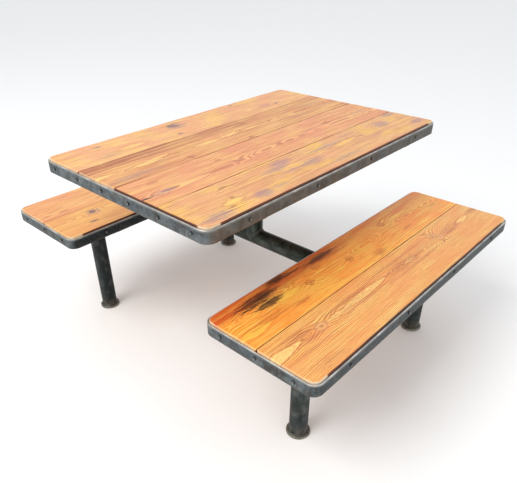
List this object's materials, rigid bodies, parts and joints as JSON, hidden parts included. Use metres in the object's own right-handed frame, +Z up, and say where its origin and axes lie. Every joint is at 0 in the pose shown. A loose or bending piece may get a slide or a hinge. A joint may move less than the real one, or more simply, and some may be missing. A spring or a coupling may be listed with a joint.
{
  "type": "picnic table",
  "caption": "Picnic table on a galvanised tube frame with a centre post, with timber boards held in round-cornered steel rims on the table top and on a bench at each side.",
  "frame": {"origin": "on the ground, at the middle of the table's footprint, straight below the centre post", "axes": "+X runs across the table to the right bench, +Y along the boards to the rear, +Z up from the ground"},
  "size_m": [1.435, 1.172, 0.756],
  "materials": {
    "galvanised_steel": "hot-dip galvanised and weathered: dull blue-grey zinc with a faint spangle",
    "zinc_fasteners": "zinc plated, dulled",
    "table_timber": "planed softwood, pale orange oil worn by use",
    "bench_timber": "planed softwood, deep orange oil"
  },
  "bodies": {
    "root": {"table_rim": "galvanised_steel", "table_board_1": "table_timber", "table_board_2": "table_timber", "table_board_3": "table_timber", "table_board_4": "table_timber", "table_bearer_front": "galvanised_steel", "table_bearer_middle": "galvanised_steel", "table_bearer_rear": "galvanised_steel", "table_spine_left": "galvanised_steel", "table_spine_right": "galvanised_steel", "table_rim_screws": "zinc_fasteners", "table_board_screws": "zinc_fasteners", "post_head_plate": "galvanised_steel", "head_studs": "zinc_fasteners", "head_washers": "zinc_fasteners", "head_nuts": "zinc_fasteners", "centre_post": "galvanised_steel", "cross_beam": "galvanised_steel", "rail_left": "galvanised_steel", "rail_right": "galvanised_steel", "leg_left_front": "galvanised_steel", "leg_left_rear": "galvanised_steel", "leg_right_front": "galvanised_steel", "leg_right_rear": "galvanised_steel", "foot_left_front": "galvanised_steel", "foot_left_rear": "galvanised_steel", "foot_right_front": "galvanised_steel", "foot_right_rear": "galvanised_steel", "bench_rim_left": "galvanised_steel", "bench_rim_right": "galvanised_steel", "bench_board_left_outer": "bench_timber", "bench_board_left_inner": "bench_timber", "bench_board_right_inner": "bench_timber", "bench_board_right_outer": "bench_timber", "bench_bearer_left_front": "galvanised_steel", "bench_bearer_left_middle": "galvanised_steel", "bench_bearer_left_rear": "galvanised_steel", "bench_bearer_right_front": "galvanised_steel", "bench_bearer_right_middle": "galvanised_steel", "bench_bearer_right_rear": "galvanised_steel", "bench_rim_screws_left": "zinc_fasteners", "bench_rim_screws_right": "zinc_fasteners", "bench_board_screws_left": "zinc_fasteners", "bench_board_screws_right": "zinc_fasteners"}
  },
  "joints": []
}
